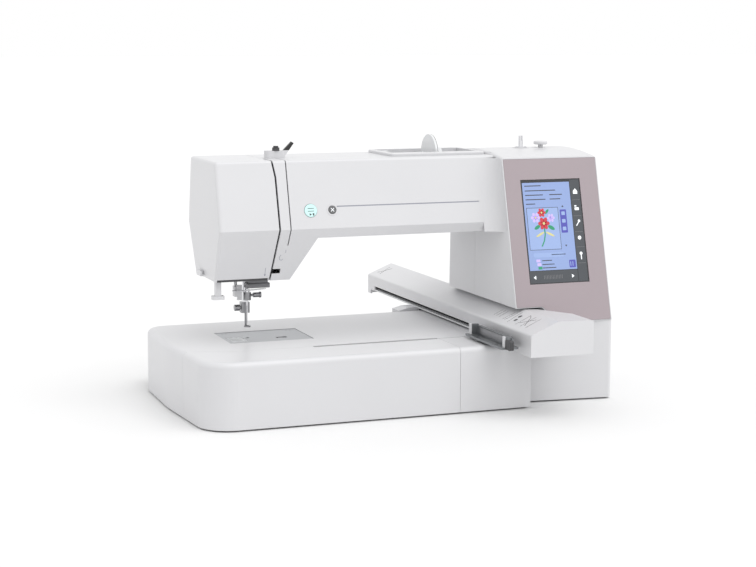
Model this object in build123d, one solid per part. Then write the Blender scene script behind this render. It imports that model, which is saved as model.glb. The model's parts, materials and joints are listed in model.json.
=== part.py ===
from build123d import *
import os
from math import atan2, cos, degrees, radians, sin

# Single-needle embroidery machine with a built-in embroidery arm. Millimetres, +Z up.
# Working frame: x runs from the bed's left end to the handwheel, y from the front wall
# of the bed to the back, z up from the table. The export moves the origin to the
# middle of the footprint.

# ---- driving dimensions ----
WALL = 3.0                      # moulded cover thickness
SEAM = 0.4                      # gap between two covers
COVER_Z = 2.0                   # lower edge of the covers above the table
PAN_Z = 5.0                     # underside of the base pan, top of the rubber feet
PAN_T = 3.0

BED_TOP = 83.0
BED_RIGHT = 428.0               # right end of the bed's front wall
BED_DEPTH = 288.0
CORNER_X = 332.0                # seam in the bed's front wall
SLOT_Y, SLOT_WIDE, SLOT_NARROW = 70.0, 8.0, 2.4
SLOT_LEFT, SLOT_STEP, SLOT_RIGHT = 165.0, 330.0, 463.0

RIGHT = 550.0                   # right side of the tower
BASE_RIGHT = 552.0              # right side of the base below it
TOWER_LEFT = 417.0              # left wall of the tower above the arm's parking space
STAND_LEFT = 472.0              # left wall of the tower beside the parked arm
STAND_TOP = 103.0               # top of the base cover, foot of the display panel
TUNNEL_TOP = 123.4              # underside of the tower over the parked arm
TUNNEL_BEND = 453.0             # right of this the underside slopes down beside the arm
TOWER_BACK = 236.0
PANEL_FOOT_Y = 17.0
PANEL_SLOPE = 0.26              # the display panel leans back: dy/dz
TOP = 311.0
EDGE_R = 4.0                    # soft outer edges of the head, arm and tower

HEAD_LEFT = 49.0
HEAD_BOTTOM = 163.0
BEND_Z = 228.0                  # the crease along the front of the head and arm
ARM_UNDER = 216.0               # underside of the upper arm
FRONT_TOP_Y, FRONT_BEND_Y, FRONT_FOOT_Y = 97.0, 76.0, 102.0
BACK_TOP_Y, BACK_BEND_Y, BACK_FOOT_Y = 211.0, 226.0, 191.0

NEEDLE_X, NEEDLE_Y = 107.0, 160.0
PRESSER_Y = NEEDLE_Y + 11.0
SHAFT_Y, SHAFT_Z, SHAFT_R = 160.0, 270.0, 6.0
NEEDLE_STROKE = 31.0
HOOK_X, HOOK_Y, HOOK_R = 92.0, 150.0, 16.5
HOOK_GEAR_R, LOWER_GEAR_R = 5.5, 11.0
LOWER_Y, LOWER_Z, LOWER_R = HOOK_Y + HOOK_GEAR_R + LOWER_GEAR_R + 0.3, 40.0, 5.0
RUN = 0.06                      # radial clearance of a running fit

BAR_LEFT, BAR_RIGHT = 393.0, 467.0     # embroidery arm, parked
BAR_BOTTOM, BAR_EAVE, BAR_CREST = 85.0, 106.5, 121.5
BAR_FRONT, BAR_BACK = -72.0, 490.0
BAR_SLOT_TOP = 92.0
CAP_FRONT = 478.0               # front of the deeper cap at the arm's back end
BLOCK_RIGHT, BLOCK_BOTTOM, BLOCK_BACK = 477.0, 79.0, 36.0
BAR_T = 2.5
BELT_X, BELT_T = 432.0, 1.2
X_ROD_Y = (300.0, 316.0)
X_ROD_Z, X_ROD_R = 38.0, 5.0
CHANNEL_BACK = 330.0            # rear wall of the X drive channel
CARRIAGE_Y = 7.0                # middle of the hoop carriage, parked at the front

# ---- openings and fittings in the covers ----
PLATE_X, PLATE_Y, PLATE_T = (75.0, 184.0), (124.0, 204.0), 2.2
WINDOW_X, WINDOW_Y = (80.0, 101.0), (135.0, 169.0)
RELEASE_X, RELEASE_Y = 149.0, 150.0
SCREEN_X, SCREEN_Z = (440.0, 523.5), (152.0, 281.0)
BEZEL_T = 3.0                   # display panel thickness
CHANNEL_W, RETURN_W = 2.4, 1.4  # widths of the two thread slots beside the face cover
SOLE_RIGHT = 117.0
BLEND_R = 21.0
# button name: x, z, radius
BUTTONS = {"start": (166.0, 250.0, 8.0), "cutter": (194.0, 250.0, 4.8)}
TRAY_X, TRAY_Y, TRAY_Z = (290.0, 412.0), (132.0, 200.0), 283.0
SPOOL_Y, SPOOL_Z = 166.0, 309.0
TRAY_RIM = 3.6                  # height of the tray's rim above the arm
SPINDLE_X, SPINDLE_Y = 480.0, 148.0
INLET_Y, INLET_Z = 205.0, 34.0
SWITCH_PIN_X, SWITCH_Y = BASE_RIGHT - 4.5, 130.0

# ---- sewing drive ----
NEEDLE_BAR_R, PRESSER_R = 3.2, 3.5
TAKEUP_Y, TAKEUP_Z = 130.0, 258.0
LIFTER_X, LIFTER_Y, LIFTER_Z = 107.0, 199.6, 196.0
LEVER_X, LEVER_Y, THREADER_X = 56.8, 116.0, 91.0
MOTOR_Y, MOTOR_Z, MOTOR_R = 150.0, 190.0, 26.0
CRANK_X, CRANK_R = 128.0, 20.0
DRIVE_X, DRIVE_R, MOTOR_PULLEY_R = 486.0, 25.0, 10.0
TIMING_X, TIMING_R = 522.0, 15.0
LOWER_BEARINGS = (102.0, 505.0)  # left faces of the lower shaft bearings

# ---- embroidery drives ----
BELT_PULLEY_R, BELT_GAP = 6.0, 0.35
IDLER_X, BELT_Y, BELT_Z = 42.0, 309.0, 50.0
X_MOTOR_X = 525.0
Y_PULLEY_Y, Y_IDLER_Y, Y_BELT_Z = -36.0, 464.0, 97.0
Y_ROD_X, Y_ROD_Z = 409.0, 99.5
BELT_R_OUT = BELT_PULLEY_R + BELT_GAP + BELT_T

# ---- outlines ----
HEAD_PROFILE = [
    (FRONT_TOP_Y, TOP), (FRONT_BEND_Y, BEND_Z), (FRONT_FOOT_Y, HEAD_BOTTOM),
    (BACK_FOOT_Y, HEAD_BOTTOM), (BACK_BEND_Y, BEND_Z), (BACK_TOP_Y, TOP),
]
FRONT_VIEW = [
    (HEAD_LEFT, HEAD_BOTTOM), (145, HEAD_BOTTOM), (175, ARM_UNDER),
    (440, ARM_UNDER), (440, TOP), (HEAD_LEFT, TOP),
]
BAR_SECTION = [
    (BAR_LEFT, BAR_BOTTOM), (BAR_RIGHT, BAR_BOTTOM), (BAR_RIGHT, BAR_EAVE),
    ((BAR_LEFT + BAR_RIGHT) / 2, BAR_CREST),
    (BAR_LEFT, BAR_EAVE),
]
BLOCK_SECTION = [
    (BAR_LEFT, BLOCK_BOTTOM), (BLOCK_RIGHT, BLOCK_BOTTOM), (BLOCK_RIGHT, BAR_CREST - 1),
    ((BAR_LEFT + BAR_RIGHT) / 2, BAR_CREST), (BAR_LEFT, BAR_EAVE),
]


def block(x0, x1, y0, y1, z0, z1):
    """A box between two corners."""
    return Pos((x0 + x1) / 2, (y0 + y1) / 2, (z0 + z1) / 2) * Box(x1 - x0, y1 - y0, z1 - z0)


def rod(axis, centre, r, a, b, inner=0.0):
    """A round bar along X, Y or Z from a to b; centre is its place in the other two axes."""
    length = b - a
    bar = Cylinder(r, length)
    if inner:
        bar -= Cylinder(inner, length + 2)
    mid = (a + b) / 2
    if axis == "X":
        return Pos(mid, centre[0], centre[1]) * Rot(0, 90, 0) * bar
    if axis == "Y":
        return Pos(centre[0], mid, centre[1]) * Rot(90, 0, 0) * bar
    return Pos(centre[0], centre[1], mid) * bar


def prism_xy(points, z0, z1):
    """A plan outline carried from z0 up to z1."""
    return Pos(0, 0, z0) * extrude(make_face(Polyline(*points, close=True)), z1 - z0)


def prism_xz(points, y0, y1, inset=0.0, eave=0.0):
    """An outline in X and Z carried from y0 to y1, shrunk by inset, its upper outer corners rounded."""
    face = make_face(Polyline(*points, close=True))
    if inset:
        face = offset(face, -inset, kind=Kind.INTERSECTION)
    if eave:
        middle = (BAR_LEFT + BAR_RIGHT) / 2
        corners = face.vertices().filter_by(lambda v: v.Y > BAR_EAVE - 1 and abs(v.X - middle) > 1)
        face = fillet(corners, eave)
    return Plane((0, y0, 0), x_dir=(1, 0, 0), z_dir=(0, -1, 0)) * extrude(face, -(y1 - y0))


def prism_yz(points, x0, x1, inset=0.0):
    """An outline in Y and Z carried from x0 to x1, shrunk by inset."""
    face = make_face(Polyline(*points, close=True))
    if inset:
        face = offset(face, -inset, kind=Kind.INTERSECTION)
    return Plane((x0, 0, 0), x_dir=(0, 1, 0), z_dir=(1, 0, 0)) * extrude(face, x1 - x0)


def panel_y(z):
    """The front plane of the tower at height z."""
    return PANEL_FOOT_Y + PANEL_SLOPE * (z - STAND_TOP)


def front_y(z):
    """The upper front face of the head and arm at height z."""
    return FRONT_BEND_Y + (FRONT_TOP_Y - FRONT_BEND_Y) * (z - BEND_Z) / (TOP - BEND_Z)


# ---- bed and base covers ----
def bed_plan(inset=0.0):
    """Plan of the bed: square at the right, slightly bowed at the left, round corners."""
    face = make_face(
        Polyline((11.4, 0), (BED_RIGHT, 0), (BED_RIGHT, BED_DEPTH), (2.6, BED_DEPTH), (0, 150), close=True)
    )
    corners = face.vertices()
    face = fillet(corners.filter_by(lambda v: v.X < 20 and v.Y < 1), 40)
    face = fillet(face.vertices().filter_by(lambda v: v.X < 20 and v.Y > 287), 28)
    face = fillet(face.vertices().filter_by(lambda v: abs(v.Y - 150) < 1), 400)
    return offset(face, -inset, kind=Kind.INTERSECTION) if inset else face


def base_plan(inset=0.0):
    """Plan of the base under the tower: its front runs forward towards the right."""
    x0 = BED_RIGHT + SEAM
    face = make_face(
        Polyline((x0, 31), (BASE_RIGHT, 17.5), (BASE_RIGHT, BED_DEPTH), (x0, BED_DEPTH), close=True)
    )
    face = fillet(face.vertices().filter_by(lambda v: v.X > RIGHT and v.Y < 30), 5)
    face = fillet(face.vertices().filter_by(lambda v: v.X > RIGHT and v.Y > 250), 18)
    return offset(face, -inset, kind=Kind.INTERSECTION) if inset else face


def slot_cutter():
    wide = block(SLOT_LEFT, SLOT_STEP, SLOT_Y - SLOT_WIDE / 2, SLOT_Y + SLOT_WIDE / 2, 70, 90)
    narrow = block(SLOT_STEP - 1, SLOT_RIGHT, SLOT_Y - SLOT_NARROW / 2, SLOT_Y + SLOT_NARROW / 2, 70, 90)
    return wide + narrow


def bed_shell():
    outer = Pos(0, 0, COVER_Z) * extrude(bed_plan(), BED_TOP - COVER_Z)
    rim = outer.edges().filter_by(lambda e: abs(e.center().Z - BED_TOP) < 0.01)
    rim = rim.filter_by(lambda e: e.center().X < BED_RIGHT - 1)
    outer = fillet(rim, 7)
    inner = Pos(0, 0, COVER_Z - 1) * extrude(bed_plan(WALL), BED_TOP - WALL - COVER_Z + 1)
    open_right = block(BED_RIGHT - 5, BED_RIGHT + 1, 40, 286, 0, BED_TOP - WALL)
    pan_gap = block(35, 520, BED_DEPTH - 5, BED_DEPTH + 1, 0, PAN_Z + PAN_T + 0.5)
    return outer - inner - open_right - pan_gap - slot_cutter()


def seam_line(gap):
    """The rear edge of the bed's front covers: the slot's line, turned back at the left end."""
    left_part = [(-5, 92 + gap), (20, 86 + gap), (60, SLOT_Y + 1 + gap)]
    return left_part + [(SLOT_LEFT, SLOT_Y + gap), (440, SLOT_Y + gap)]


def bed_covers():
    shell = bed_shell()
    front = prism_xy(seam_line(0) + [(440, -9), (-5, -9)], 0, 90)
    back = prism_xy(seam_line(SEAM) + [(440, 300), (-5, 300)], 0, 90)
    left = block(-9, CORNER_X, -9, 300, 0, 90)
    right = block(CORNER_X + SEAM, 440, -9, 300, 0, 90)
    rear = shell & back
    rear -= block(PLATE_X[0] - 0.3, PLATE_X[1] + 0.3, PLATE_Y[0] - 0.3, PLATE_Y[1] + 0.3, 70, 90)
    ledge = block(PLATE_X[0] - 6, PLATE_X[1] + 6, PLATE_Y[0] - 6, PLATE_Y[1] + 6, BED_TOP - 6, BED_TOP - 3)
    ledge -= block(PLATE_X[0] + 4, PLATE_X[1] - 4, PLATE_Y[0] + 4, PLATE_Y[1] - 4, 70, 90)
    return {
        "bed_front_cover": shell & front & left,
        "bed_corner_cover": shell & front & right,
        "bed_cover": rear + ledge,
    }


def base_cover():
    outer = Pos(0, 0, COVER_Z) * extrude(base_plan(), STAND_TOP - COVER_Z)
    inner = Pos(0, 0, COVER_Z - 1) * extrude(base_plan(WALL), STAND_TOP - WALL - COVER_Z + 1)
    low = block(BED_RIGHT - 5, STAND_LEFT, -9, 300, BED_TOP, 130)
    low_inner = block(BED_RIGHT - 5, STAND_LEFT + WALL, -9, 300, BED_TOP - WALL, 130)
    shell = (outer - low) - (inner - low_inner)
    top_hole = block(STAND_LEFT + WALL + 2, RIGHT - 6, 45, TOWER_BACK - 8, 95, 110)
    open_left = block(BED_RIGHT, BED_RIGHT + 5, 40, 286, 0, BED_TOP - WALL)
    pan_gap = block(400, 525, BED_DEPTH - 5, BED_DEPTH + 1, 0, PAN_Z + PAN_T + 0.5)
    inlet = block(BASE_RIGHT - 5, BASE_RIGHT + 1, INLET_Y - 15, INLET_Y + 15, INLET_Z - 12, INLET_Z + 12)
    rocker = block(BASE_RIGHT - 5, BASE_RIGHT + 1, SWITCH_Y - 11, SWITCH_Y + 11, INLET_Z - 8, INLET_Z + 8)
    return shell - top_hole - open_left - pan_gap - slot_cutter() - inlet - rocker


def base_pan():
    """Floor of the machine, with the channel at the back that holds the X drive."""
    floor = Pos(0, 0, PAN_Z) * extrude(bed_plan(WALL + 0.4), PAN_T)
    floor += Pos(0, 0, PAN_Z) * extrude(base_plan(WALL + 0.4), PAN_T)
    floor += block(410, 440, 42, 280, PAN_Z, PAN_Z + PAN_T)
    floor += block(36, 524, 275, 292, PAN_Z, PAN_Z + PAN_T)
    floor += block(19, 547, 291, CHANNEL_BACK, PAN_Z, PAN_Z + PAN_T)
    wall = block(19, 547, CHANNEL_BACK - 3, CHANNEL_BACK, PAN_Z, 60)
    wall += block(19, 22, 291, CHANNEL_BACK, PAN_Z, 60) + block(544, 547, 291, CHANNEL_BACK, PAN_Z, 60)
    for x in (28.0, 500.0):
        wall += block(x, x + 5, 291, CHANNEL_BACK, PAN_Z, 47)
    pan = floor + wall
    for y in X_ROD_Y:
        pan -= rod("X", (y, X_ROD_Z), X_ROD_R, 25, 508)
    pan += rod("Z", (IDLER_X, BELT_Y), 2.5, PAN_Z, 58)
    for x in (60.0, 200.0, 330.0):
        pan += rod("Z", (x, 40), 4, PAN_Z, 30)
        pan += rod("Z", (x, 262), 4, PAN_Z, 30)
    return pan


def rubber_feet():
    places = [(40, 35), (40, 262), (400, 35), (530, 60), (530, 262)]
    return [rod("Z", p, 9, 0, PAN_Z) for p in places]


def needle_plate():
    z1 = BED_TOP - 0.6
    plate = block(*PLATE_X, *PLATE_Y, z1 - PLATE_T, z1)
    corners = plate.edges().filter_by(Axis.Z)
    plate = fillet(corners, 3)
    plate -= block(WINDOW_X[0] - 0.2, WINDOW_X[1] + 0.2, WINDOW_Y[0] - 0.2, WINDOW_Y[1] + 0.2, 70, 90)
    plate -= rod("Z", (NEEDLE_X, NEEDLE_Y), 2.5, 70, 90)
    plate -= block(RELEASE_X - 7, RELEASE_X + 7, RELEASE_Y - 3.2, RELEASE_Y + 3.2, 70, 90)
    for x, y in ((84, 197), (89, 197), (170, 197), (175, 197)):
        plate -= rod("Z", (x, y), 1.1, 70, 90)
    return plate


def hook_cover():
    z1 = BED_TOP - 0.7
    lid = block(*WINDOW_X, *WINDOW_Y, z1 - PLATE_T, z1)
    (x0, x1), (y0, y1) = WINDOW_X, WINDOW_Y
    lid += block(x0 + 3, x1 - 3, y0 - 4, y1 + 4, z1 - PLATE_T - 1.4, z1 - PLATE_T)
    return lid


def plate_release():
    z1 = BED_TOP - 0.6
    knob = block(RELEASE_X - 5, RELEASE_X + 1.5, RELEASE_Y - 2.9, RELEASE_Y + 2.9, z1 - 5, z1 - 0.1)
    knob += block(RELEASE_X - 11, RELEASE_X + 4, RELEASE_Y - 5, RELEASE_Y + 5, z1 - 5, z1 - PLATE_T - 0.4)
    return knob


# ---- head, upper arm and tower covers ----
def arm_envelope(inset):
    """The head and upper arm; the outside has soft edges."""
    side = prism_yz(HEAD_PROFILE, HEAD_LEFT - 1, 440, inset)
    body = side & prism_xz(FRONT_VIEW, 60, 240, inset)
    if inset:
        return body
    end_face = body.faces().sort_by(Axis.X)[0]
    long_edges = body.edges().filter_by(Axis.X).filter_by(lambda e: e.center().Z > TOP - 1)
    return fillet(long_edges + end_face.edges(), EDGE_R)


def tunnel(grow):
    """The space that the tower leaves over the parked arm."""
    outline = [
        (380, 80), (STAND_LEFT, 80), (STAND_LEFT, STAND_TOP + 3),
        (TUNNEL_BEND, TUNNEL_TOP), (380, TUNNEL_TOP),
    ]
    return prism_xz(outline, -20, 300, -grow)


def blend(inset):
    """The hollow curve between the arm's front face and the tower's left wall."""
    low, rise = ARM_UNDER, TOP - 3 - ARM_UNDER
    cx, cy = TOWER_LEFT - BLEND_R, front_y(low) - BLEND_R
    r = BLEND_R + inset
    arc = ThreePointArc((cx, cy + r), (cx + r * cos(radians(45)), cy + r * sin(radians(45))), (cx + r, cy))
    far = BLEND_R + 6
    back = Polyline((cx + r, cy), (cx + far, cy), (cx + far, cy + far), (cx, cy + far), (cx, cy + r))
    face = Pos(0, 0, low) * make_face([*arc.edges(), *back.edges()])
    lean = Vector(0, front_y(low + 1) - front_y(low), 1)
    return extrude(face, rise * lean.length, dir=lean)


def tower_envelope(inset):
    """The tower: a leaning front plane, a low dome on top, and a step over the parked arm."""
    top = TOP - 2
    foot = (panel_y(STAND_TOP), STAND_TOP)
    side = Polyline((panel_y(top), top), foot, (TOWER_BACK, STAND_TOP), (TOWER_BACK - 6, top))
    dome = ThreePointArc((TOWER_BACK - 6, top), (150, TOP + 5), (panel_y(top), top))
    face = make_face([*side.edges(), *dome.edges()])
    if inset:
        face = offset(face, -inset, kind=Kind.INTERSECTION)
    body = Plane((TOWER_LEFT + inset, 0, 0), x_dir=(0, 1, 0), z_dir=(1, 0, 0)) * extrude(
        face, RIGHT - TOWER_LEFT - 2 * inset
    )
    if not inset:
        roof = body.faces().sort_by(Axis.Z)[-1]
        body = fillet(roof.edges().filter_by(lambda e: e.center().Y > panel_y(top) + 5), EDGE_R)
    if inset:
        body += block(STAND_LEFT + inset, RIGHT - inset, 45, TOWER_BACK - inset, STAND_TOP - 1, 140)
    return body - tunnel(inset)


def panel_plane():
    """The display panel's front plane: x to the right, y up the slope, z outwards."""
    lean = degrees(atan2(PANEL_SLOPE, 1))
    return Plane(
        (0, PANEL_FOOT_Y, STAND_TOP), x_dir=(1, 0, 0),
        z_dir=(0, -cos(radians(lean)), sin(radians(lean))),
    )


def slope_v(z):
    """Distance up the panel for a height z."""
    return (z - STAND_TOP) * (1 + PANEL_SLOPE**2) ** 0.5


def bezel_face(grow=0.0):
    g = grow
    foot = slope_v(STAND_TOP + 1.2) - g
    points = [
        (TOWER_LEFT + 1.5 - g, slope_v(TUNNEL_TOP + 0.8) - g),
        (TUNNEL_BEND + 0.5 - g, slope_v(TUNNEL_TOP + 0.8) - g),
        (STAND_LEFT + 1.5 - g, slope_v(STAND_TOP + 4)), (STAND_LEFT + 1.5 - g, foot), (RIGHT - 1.5 + g, foot),
        (RIGHT - 1.5 + g, slope_v(TOP - 4) + g), (TOWER_LEFT + 1.5 - g, slope_v(TOP - 4) + g),
    ]
    return make_face(Polyline(*points, close=True))


def on_panel(face, front, back):
    """A face on the display panel, carried from depth front to depth back behind the plane."""
    return (panel_plane() * (Pos(0, 0, -back) * extrude(face, back - front)))


def screen_face(grow):
    (x0, x1), (z0, z1) = SCREEN_X, SCREEN_Z
    v0, v1 = slope_v(z0), slope_v(z1)
    return Pos((x0 + x1) / 2, (v0 + v1) / 2) * Rectangle(x1 - x0 + 2 * grow, v1 - v0 + 2 * grow)


def display_bezel():
    plate = on_panel(bezel_face(), 0, BEZEL_T)
    return plate - on_panel(screen_face(0.3), -1, BEZEL_T + 1)


def touch_display():
    glass = on_panel(screen_face(0), 1.0, BEZEL_T + 0.3)
    return glass + on_panel(screen_face(4), BEZEL_T + 0.3, BEZEL_T + 8)


def main_board():
    middle = Pos(482, slope_v(215)) * Rectangle(104, 140)
    board = on_panel(middle, 16, 17.6)
    chips = ((455, 180, 22, 22, 3), (500, 180, 14, 20, 3), (470, 245, 30, 10, 9), (512, 240, 12, 30, 12))
    for u, v, w, h, t in chips:
        chip = Pos(u, slope_v(v)) * Rectangle(w, h)
        board += on_panel(chip, 17.6, 17.6 + t)
    return board


def channel_edge(shift):
    """The right edge of the face cover, bowed like the threading channel."""
    points = [(120, TOP + 20), (120, TOP), (123.2, 291), (124, BEND_Z), (117.8, HEAD_BOTTOM), (117.8, 150)]
    return [(x + shift, z) for x, z in points]


def return_slot():
    """The short second thread slot, along the strip beside the face cover."""
    points = [(138, TOP + 20), (138, TOP), (138.4, BEND_Z), (136.6, 208)]
    return points + [(x + RETURN_W, z) for x, z in points[::-1]]


def button_plane(x, z):
    """A plane on the sloped front face, facing out."""
    lean = atan2(FRONT_TOP_Y - FRONT_BEND_Y, TOP - BEND_Z)
    return Plane((x, front_y(z), z), x_dir=(1, 0, 0), z_dir=(0, -cos(lean), sin(lean)))


def upper_covers():
    outer = arm_envelope(0) + tower_envelope(0) + blend(0)
    shell = outer - (arm_envelope(WALL) + tower_envelope(WALL) + blend(WALL))
    shell -= block(HEAD_LEFT + WALL, SOLE_RIGHT + 0.4, 100, 193, HEAD_BOTTOM - 1, HEAD_BOTTOM + WALL + 0.5)
    shell -= block(STAND_LEFT + WALL + 2, RIGHT - 6, 40, TOWER_BACK - WALL - 5, 95, STAND_TOP + WALL + 2)
    shell -= on_panel(bezel_face(0.3), -6, BEZEL_T + 0.2)
    lip = on_panel(bezel_face(0.3), BEZEL_T + 0.2, BEZEL_T + 2.6) - on_panel(screen_face(9), BEZEL_T, 9)
    shell = shell + (lip & outer)
    shell -= block(LIFTER_X - 5, LIFTER_X + 5, 185, 240, 172, 214)
    left = prism_xz(channel_edge(0) + [(0, 150), (0, 330)], 0, 300)
    right = prism_xz(channel_edge(SEAM) + [(118, 90), (600, 90), (600, 330)], 0, 300)
    front = block(0, 600, -9, 150, STAND_TOP + SEAM, 330)
    back = block(0, 600, 150 + SEAM, 300, STAND_TOP + SEAM, 330)
    tray = block(TRAY_X[0] - 0.3, TRAY_X[1] + 0.3, TRAY_Y[0] - 0.3, TRAY_Y[1] + 0.3, TOP - 8, TOP + 9)
    threading = prism_xz(channel_edge(0) + channel_edge(CHANNEL_W)[::-1], 0, 136)
    second = prism_xz(return_slot(), 0, 136)
    notch = block(118, 131.5, 80, 110, 172, 178)
    cover = (shell & front & right) - tray - threading - second - notch
    for x, z, r in BUTTONS.values():
        cover -= button_plane(x, z) * (Pos(0, 0, -5) * Cylinder(r + 0.4, 14))
    cover -= block(200, 392, 70, front_y(254) + 0.9, 253.3, 254.7)
    cover -= rod("Z", (SPINDLE_X, SPINDLE_Y), 9, 300, 330) & block(0, 600, 0, 150, 0, 400)
    rear = (shell & back & right) - tray
    rear -= rod("Z", (SPINDLE_X, SPINDLE_Y), 9, 300, 330)
    rear -= rod("X", (SHAFT_Y, SHAFT_Z), SHAFT_R + 1, 540, 560)
    cover -= rod("X", (SHAFT_Y, SHAFT_Z), SHAFT_R + 1, 540, 560)
    for i in range(9):
        rear -= block(440 + 8 * i, 444 + 8 * i, TOWER_BACK - 12, TOWER_BACK + 5, 150, 190)
    return {"front_cover": cover, "rear_cover": rear, "face_cover": shell & left}


def spool_tray():
    (x0, x1), (y0, y1) = TRAY_X, TRAY_Y
    tray = block(x0, x1, y0, y1, TRAY_Z, TOP + TRAY_RIM)
    rim = block(x0 - 5, x1 + 4, y0 - 14, y1 + 4, TOP + 0.1, TOP + TRAY_RIM)
    rim = fillet(rim.edges().filter_by(Axis.Z), 6)
    tray += fillet(rim.faces().sort_by(Axis.Z)[-1].edges(), 1.4)
    tray -= block(x0 + 2.5, x1 - 2.5, y0 + 2.5, y1 - 2.5, TRAY_Z + 2.5, TOP + 9)
    tray += block(x0 + 2, x0 + 10, 158, 174, TRAY_Z + 2, TOP + TRAY_RIM)
    return tray - rod("X", (SPOOL_Y, SPOOL_Z), 2.5, x0 + 1, x0 + 12)


def spool_pin():
    return rod("X", (SPOOL_Y, SPOOL_Z), 2.45, TRAY_X[0] + 2, 380)


def spool_cap():
    disc = rod("X", (SPOOL_Y, SPOOL_Z), 26, 356, 359, 2.5)
    disc &= block(350, 365, 100, 240, TRAY_Z + 4, 340)
    return disc + rod("X", (SPOOL_Y, SPOOL_Z), 9, 359, 372, 2.5)


def head_sole():
    """The dark closing plate under the head, open round the needle and the threader lever."""
    z0 = HEAD_BOTTOM
    plate = block(HEAD_LEFT + WALL + 0.4, SOLE_RIGHT, 106, 187, z0, z0 + 2.6)
    plate -= block(NEEDLE_X - 20, NEEDLE_X + 12, NEEDLE_Y - 12, PRESSER_Y + 10.2, z0 - 1, z0 + 5)
    plate -= block(HEAD_LEFT + 1, LEVER_X + 4.7, LEVER_Y - 4.8, LEVER_Y + 4.8, z0 - 1, z0 + 5)
    return plate


def led_lamp():
    lamp = block(99, 128, 130, 146.5, 150, 156)
    lamp = fillet(lamp.edges().filter_by(Axis.X), 1.5)
    return lamp + block(101, 126, 132, 144, 156, HEAD_BOTTOM)


def top_thread_guide():
    guide = fillet(block(127, 152, 137, 151, TOP + 0.1, TOP + 9).edges().filter_by(Axis.Z), 4)
    guide -= block(120, 160, 143, 145, TOP + 5, TOP + 12)
    wing = prism_xz([(146, TOP + 6), (160, TOP + 20), (163, TOP + 18), (152, TOP + 3)], 138.5, 142.5)
    return guide + wing


def pretension_dial():
    dial = rod("Z", (140, 140), 4.6, TOP + 9, TOP + 13)
    return dial + rod("Z", (140, 140), 3.2, TOP + 13, TOP + 15)


def winder_spindle():
    spindle = rod("Z", (SPINDLE_X, SPINDLE_Y), 3.0, TOP - 12, TOP + 21)
    spindle += rod("Z", (SPINDLE_X, SPINDLE_Y), 7.2, TOP + 5.6, TOP + 7)
    return spindle - block(SPINDLE_X - 0.6, SPINDLE_X + 0.6, SPINDLE_Y - 5, SPINDLE_Y + 5, TOP + 14, TOP + 22)


def winder_stopper():
    stem = rod("Z", (509, 148), 3.2, TOP + 5.05, TOP + 11)
    cap = rod("Z", (509, 148), 9.2, TOP + 9, TOP + 13.5)
    return stem + fillet(cap.edges().filter_by(GeomType.CIRCLE), 1.6)


# ---- frame and drive ----
def cast_frame():
    """The C-shaped casting: lower beam, column and upper beam, with the bearing blocks."""
    y0, y1 = 188.0, 194.0
    frame = block(60, 517, y0, y1, 234, 300)
    frame += block(505, 517, y0, y1, PAN_Z + PAN_T, 300)
    frame += block(102, 517, y0, y1, 14, 62)
    for x in (102.0, 498.0):
        frame += block(x, x + 26, 180, 202, PAN_Z + PAN_T, PAN_Z + PAN_T + 6.5)
    frame += block(505, 517, SHAFT_Y - 12, y1, SHAFT_Z - 13, SHAFT_Z + 13)
    frame += block(140, 146, 112, y1, 222, 285)
    frame += block(60, 146, y0, y1, 178, 300)
    for side in (-8.0, 5.4):
        lug = block(LIFTER_X + side, LIFTER_X + side + 2.6, y1 - 1, LIFTER_Y + 3, LIFTER_Z - 3, LIFTER_Z + 3)
        frame += lug
    frame += rod("X", (LIFTER_Y, LIFTER_Z), 2.0, LIFTER_X - 8, LIFTER_X + 8)
    for z in (178.0, 262.0):
        frame += block(NEEDLE_X - 12, NEEDLE_X + 12, NEEDLE_Y - 8, y1, z, z + 10)
    for x in LOWER_BEARINGS:
        frame += block(x, x + 12, LOWER_Y - 10, y1, LOWER_Z - 10, LOWER_Z + 10)
    frame += block(420, 426, 128, y1, 168, 290)
    frame += rod("X", (TAKEUP_Y, TAKEUP_Z), 3.0, 121, 141)
    for x0, x1 in ((139, 147), (504, 518)):
        frame -= rod("X", (SHAFT_Y, SHAFT_Z), SHAFT_R + RUN, x0, x1)
    for x in LOWER_BEARINGS:
        frame -= rod("X", (LOWER_Y, LOWER_Z), LOWER_R + RUN, x - 1, x + 13)
    frame -= rod("Z", (NEEDLE_X, NEEDLE_Y), NEEDLE_BAR_R + RUN, 170, 280)
    frame -= rod("Z", (NEEDLE_X, PRESSER_Y), PRESSER_R + RUN, 170, 280)
    frame -= rod("X", (SHAFT_Y, SHAFT_Z), SHAFT_R + 3, 419, 427)
    frame -= rod("X", (MOTOR_Y, MOTOR_Z), 10.2, 419, 427)
    return frame - block(TRAY_X[0] - 3, TRAY_X[1] + 6, 180, 210, TRAY_Z - 1.5, 310)


def main_shaft():
    shaft = rod("X", (SHAFT_Y, SHAFT_Z), SHAFT_R, CRANK_X, RIGHT + 8)
    shaft += rod("X", (SHAFT_Y, SHAFT_Z), CRANK_R, CRANK_X, CRANK_X + 6)
    shaft += rod("X", (SHAFT_Y, SHAFT_Z - NEEDLE_STROKE / 2), 3, CRANK_X - 2.5, CRANK_X + 1)
    shaft += rod("X", (SHAFT_Y, SHAFT_Z), DRIVE_R, DRIVE_X, DRIVE_X + 8)
    shaft += rod("X", (SHAFT_Y, SHAFT_Z), TIMING_R, TIMING_X, TIMING_X + 8)
    return shaft


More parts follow.
